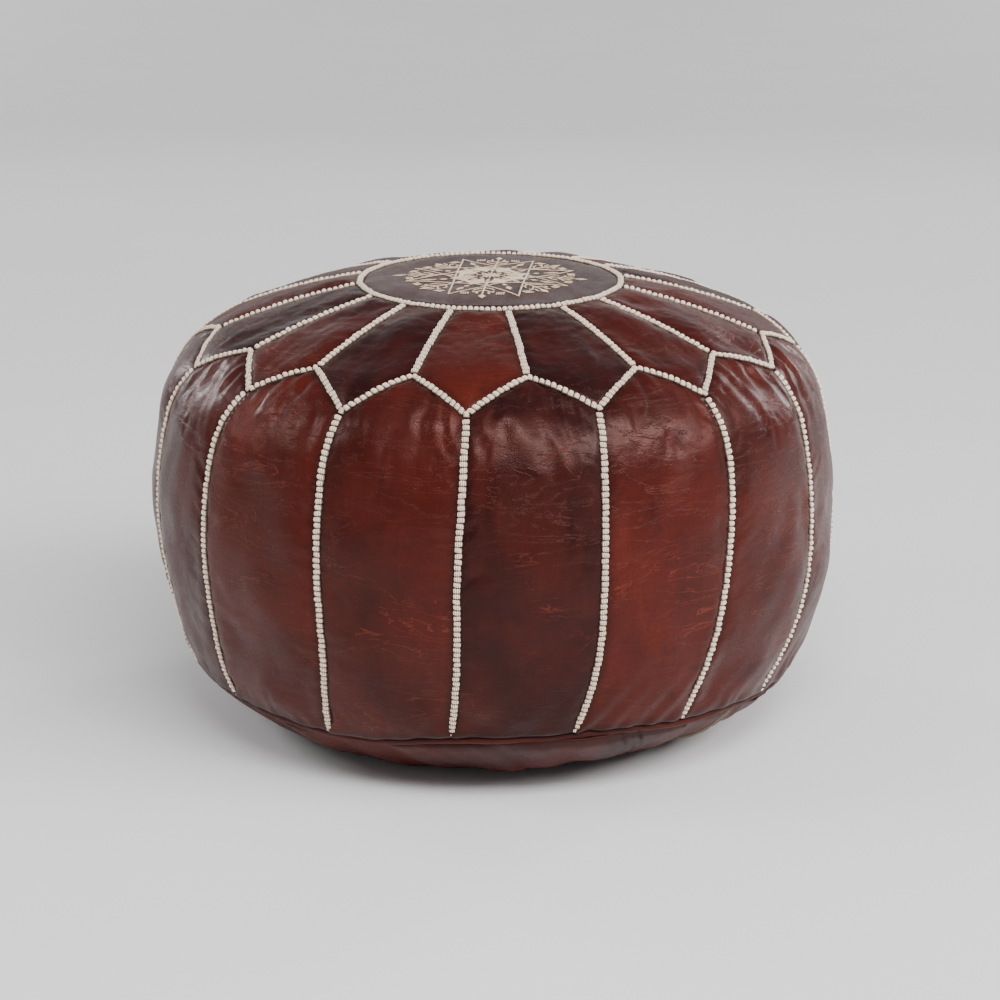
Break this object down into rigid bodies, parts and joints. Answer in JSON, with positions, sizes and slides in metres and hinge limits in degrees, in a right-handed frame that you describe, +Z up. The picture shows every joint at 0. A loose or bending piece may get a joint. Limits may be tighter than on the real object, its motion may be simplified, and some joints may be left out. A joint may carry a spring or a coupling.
{
  "type": "leather floor pouf",
  "caption": "Round stuffed leather pouf: panelled cover with braided seams, embroidered top medallion, zipped base.",
  "frame": {"origin": "on the floor, under the middle of the pouf", "axes": "+Z up through the medallion, -Y towards the front"},
  "size_m": [0.5336, 0.5336, 0.3465],
  "materials": {
    "panel_leather": "hand-dyed glossy goat leather, mottled maroon and red-brown",
    "medallion_leather": "purplish-brown satin leather",
    "base_leather": "dark red-brown leather, wrinkled",
    "braid_thread": "cream rayon braid",
    "embroidery_thread": "satin-stitched beige thread",
    "zip_tape": "woven khaki tape",
    "zip_coil": "moulded nylon coil",
    "zip_metal": "antique brass, worn",
    "filling_wadding": "cotton wadding"
  },
  "bodies": {
    "root": {"base_panel_left": "base_leather", "base_panel_right": "base_leather", "base_welt": "base_leather", "filling": "filling_wadding", "medallion": "medallion_leather", "medallion_braid": "braid_thread", "medallion_embroidery": "embroidery_thread", "radial_seam_braids": "braid_thread", "side_panel_01": "panel_leather", "side_panel_02": "panel_leather", "side_panel_03": "panel_leather", "side_panel_04": "panel_leather", "side_panel_05": "panel_leather", "side_panel_06": "panel_leather", "side_panel_07": "panel_leather", "side_panel_08": "panel_leather", "side_panel_09": "panel_leather", "side_panel_10": "panel_leather", "side_panel_11": "panel_leather", "side_panel_12": "panel_leather", "side_panel_13": "panel_leather", "side_panel_14": "panel_leather", "side_panel_15": "panel_leather", "side_panel_16": "panel_leather", "side_seam_braids": "braid_thread", "top_panel_01": "panel_leather", "top_panel_02": "panel_leather", "top_panel_03": "panel_leather", "top_panel_04": "panel_leather", "top_panel_05": "panel_leather", "top_panel_06": "panel_leather", "top_panel_07": "panel_leather", "top_panel_08": "panel_leather", "top_panel_09": "panel_leather", "top_panel_10": "panel_leather", "top_panel_11": "panel_leather", "top_panel_12": "panel_leather", "top_panel_13": "panel_leather", "top_panel_14": "panel_leather", "top_panel_15": "panel_leather", "top_panel_16": "panel_leather", "zigzag_braid": "braid_thread", "zip_coil_left": "zip_coil", "zip_coil_right": "zip_coil", "zip_tape_left": "zip_tape", "zip_tape_right": "zip_tape"},
    "zip_slider": {"zip_slider": "zip_metal"},
    "zip_pull_tab": {"zip_pull_tab": "zip_metal"}
  },
  "joints": [
    {"name": "zip_slide", "type": "slide", "parent": "root", "child": "zip_slider", "axis": [0.7547, -0.6561, 0], "range_m": [0, 0.216]},
    {"name": "pull_tab_hinge", "type": "hinge", "parent": "zip_slider", "child": "zip_pull_tab", "pos_m": [-0.08151, 0.07085, 0.00195], "axis": [0.6561, 0.7547, 0], "range_deg": [0, 170]}
  ]
}
